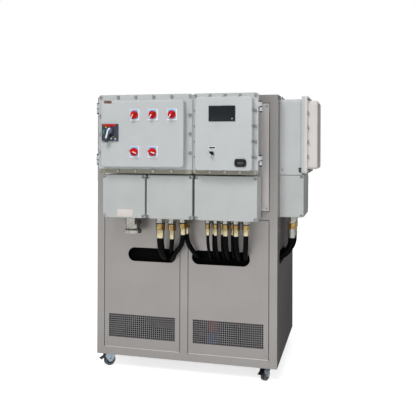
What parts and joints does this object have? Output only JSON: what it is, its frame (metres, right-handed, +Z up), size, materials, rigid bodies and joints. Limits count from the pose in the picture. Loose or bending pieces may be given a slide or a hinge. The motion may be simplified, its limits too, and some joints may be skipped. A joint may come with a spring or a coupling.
{
  "type": "temperature control unit",
  "caption": "Wheeled stainless cabinet that heats and cools a circulating fluid, with hinged flameproof switch and control enclosures and conduit glands.",
  "frame": {"origin": "middle of the bounding box, on the floor under the casters", "axes": "+Z up, the enclosures and switches face -Y, the side enclosure stands out to +X"},
  "size_m": [1.4376, 1.2756, 1.8032],
  "materials": {
    "stainless_frame": "brushed stainless steel",
    "stainless_sheet": "brushed stainless sheet",
    "steel_screws": "bright steel",
    "enclosure_paint": "light grey powder coat on cast aluminium",
    "box_paint": "light grey powder coat",
    "white_plastic": "gloss",
    "red_plastic": "gloss",
    "slate_plastic": "satin",
    "screen_glass": "gloss",
    "bright_metal": "polished",
    "black_plastic": "satin",
    "nickel": "nickel plated",
    "brass": "pale nickel plated brass",
    "conduit_rubber": "black coated flexible conduit",
    "zinc": "zinc plated",
    "wheel_rubber": "black rubber",
    "pump_blue": "gloss",
    "motor_red": "gloss",
    "compressor_black": "satin",
    "vessel_steel": "satin stainless steel",
    "copper": "copper"
  },
  "bodies": {
    "cabinet": {"frame_posts": "stainless_frame", "frame_rails": "stainless_frame", "base_tray": "stainless_frame", "panel_tabs": "stainless_frame", "panel_screws": "steel_screws", "upper_front_panel": "stainless_sheet", "lower_left_panel": "stainless_sheet", "ventilation_grilles": "stainless_sheet", "lower_right_panel": "stainless_sheet", "left_side_panel": "stainless_sheet", "right_side_panel": "stainless_sheet", "back_panel": "stainless_sheet", "top_panel": "stainless_sheet", "switch_enclosure": "enclosure_paint", "hinge_pins": "steel_screws", "control_enclosure": "enclosure_paint", "side_enclosure": "enclosure_paint", "gland_adapters": "nickel", "terminal_boxes": "box_paint", "terminal_box_covers": "box_paint", "switchgear": "black_plastic", "gland_nuts": "brass", "flexible_conduits": "conduit_rubber", "cable_duct": "black_plastic", "caster_plates": "zinc", "pump_casing": "pump_blue", "pump_motor": "motor_red", "heater_vessel": "vessel_steel", "expansion_tank": "vessel_steel", "heat_exchanger": "vessel_steel", "compressor": "compressor_black", "pipework": "vessel_steel", "copper_lines": "copper"},
    "switch_lid": {"switch_lid": "enclosure_paint", "switch_lid_bolts": "steel_screws", "switch_plates": "white_plastic", "isolator_plate": "slate_plastic"},
    "control_lid": {"control_lid": "enclosure_paint", "control_lid_bolts": "steel_screws", "touch_screen": "screen_glass", "selector_bezel": "bright_metal", "inspection_port": "black_plastic"},
    "side_lid": {"side_lid": "enclosure_paint", "side_lid_bolts": "steel_screws"},
    "isolator_handle": {"isolator_handle": "slate_plastic"},
    "selector_knob": {"selector_knob": "black_plastic"},
    "pump_shaft": {"pump_shaft": "zinc"},
    "left_fork": {"caster_fork_left": "zinc"},
    "right_fork": {"caster_fork_right": "zinc"},
    "left_pedal": {"brake_pedal_left": "zinc"},
    "right_pedal": {"brake_pedal_right": "black_plastic"},
    "left_wheel": {"caster_wheel_left": "wheel_rubber"},
    "right_wheel": {"caster_wheel_right": "wheel_rubber"},
    "rear_left_wheel": {"caster_wheel_rear_left": "wheel_rubber"},
    "rear_right_wheel": {"caster_wheel_rear_right": "wheel_rubber"},
    "knob_1": {"rotary_knob_1": "red_plastic"},
    "knob_2": {"rotary_knob_2": "red_plastic"},
    "knob_3": {"rotary_knob_3": "red_plastic"},
    "knob_4": {"rotary_knob_4": "red_plastic"},
    "knob_5": {"rotary_knob_5": "red_plastic"}
  },
  "joints": [
    {"name": "switch_lid_hinge", "type": "hinge", "parent": "cabinet", "child": "switch_lid", "pos_m": [-0.62955, -0.5122, 1.394], "axis": [0, 0, -1], "range_deg": [0, 120]},
    {"name": "control_lid_hinge", "type": "hinge", "parent": "cabinet", "child": "control_lid", "pos_m": [0.40645, -0.5122, 1.394], "axis": [0, 0, 1], "range_deg": [0, 120]},
    {"name": "side_lid_hinge", "type": "hinge", "parent": "cabinet", "child": "side_lid", "pos_m": [0.63945, 0.1718, 1.394], "axis": [0, 0, 1], "range_deg": [0, 120]},
    {"name": "knob_1_turn", "type": "hinge", "parent": "switch_lid", "child": "knob_1", "pos_m": [-0.35355, -0.5965, 1.668], "axis": [0, 1, 0], "range_deg": [0, 90]},
    {"name": "knob_2_turn", "type": "hinge", "parent": "switch_lid", "child": "knob_2", "pos_m": [-0.23655, -0.5965, 1.668], "axis": [0, 1, 0], "range_deg": [0, 90]},
    {"name": "knob_3_turn", "type": "hinge", "parent": "switch_lid", "child": "knob_3", "pos_m": [-0.11555, -0.5965, 1.668], "axis": [0, 1, 0], "range_deg": [0, 90]},
    {"name": "knob_4_turn", "type": "hinge", "parent": "switch_lid", "child": "knob_4", "pos_m": [-0.35355, -0.5965, 1.443], "axis": [0, 1, 0], "range_deg": [-90, 0]},
    {"name": "knob_5_turn", "type": "hinge", "parent": "switch_lid", "child": "knob_5", "pos_m": [-0.23655, -0.5965, 1.443], "axis": [0, 1, 0], "range_deg": [-90, 0]},
    {"name": "isolator_turn", "type": "hinge", "parent": "switch_lid", "child": "isolator_handle", "pos_m": [-0.50555, -0.6015, 1.572], "axis": [0, 1, 0], "range_deg": [0, 150]},
    {"name": "selector_turn", "type": "hinge", "parent": "control_lid", "child": "selector_knob", "pos_m": [0.12945, -0.5975, 1.437], "axis": [0, 1, 0], "range_deg": [-45, 45]},
    {"name": "left_swivel", "type": "hinge", "parent": "cabinet", "child": "left_fork", "pos_m": [-0.64155, -0.2272, 0.086], "axis": [0, 0, 1], "continuous": true},
    {"name": "left_brake", "type": "hinge", "parent": "left_fork", "child": "left_pedal", "pos_m": [-0.67849, -0.27448, 0.07], "axis": [0.788, -0.6157, 0], "range_deg": [0, 12]},
    {"name": "left_wheel_roll", "type": "hinge", "parent": "left_fork", "child": "left_wheel", "pos_m": [-0.65879, -0.24926, 0.0375], "axis": [0.788, -0.6157, 0], "continuous": true},
    {"name": "right_swivel", "type": "hinge", "parent": "cabinet", "child": "right_fork", "pos_m": [0.41045, -0.2272, 0.086], "axis": [0, 0, 1], "continuous": true},
    {"name": "right_brake", "type": "hinge", "parent": "right_fork", "child": "right_pedal", "pos_m": [0.38993, -0.28358, 0.07], "axis": [0.9397, -0.342, 0], "range_deg": [0, 12]},
    {"name": "right_wheel_roll", "type": "hinge", "parent": "right_fork", "child": "right_wheel", "pos_m": [0.40087, -0.25351, 0.0375], "axis": [0.9397, -0.342, 0], "continuous": true},
    {"name": "rear_left_wheel_roll", "type": "hinge", "parent": "cabinet", "child": "rear_left_wheel", "pos_m": [-0.64155, 0.4978, 0.0375], "axis": [1, 0, 0], "continuous": true},
    {"name": "rear_right_wheel_roll", "type": "hinge", "parent": "cabinet", "child": "rear_right_wheel", "pos_m": [0.41045, 0.4978, 0.0375], "axis": [1, 0, 0], "continuous": true},
    {"name": "pump_spin", "type": "hinge", "parent": "cabinet", "child": "pump_shaft", "pos_m": [0.01445, -0.0972, 0.233], "axis": [0, 0, 1], "continuous": true}
  ]
}
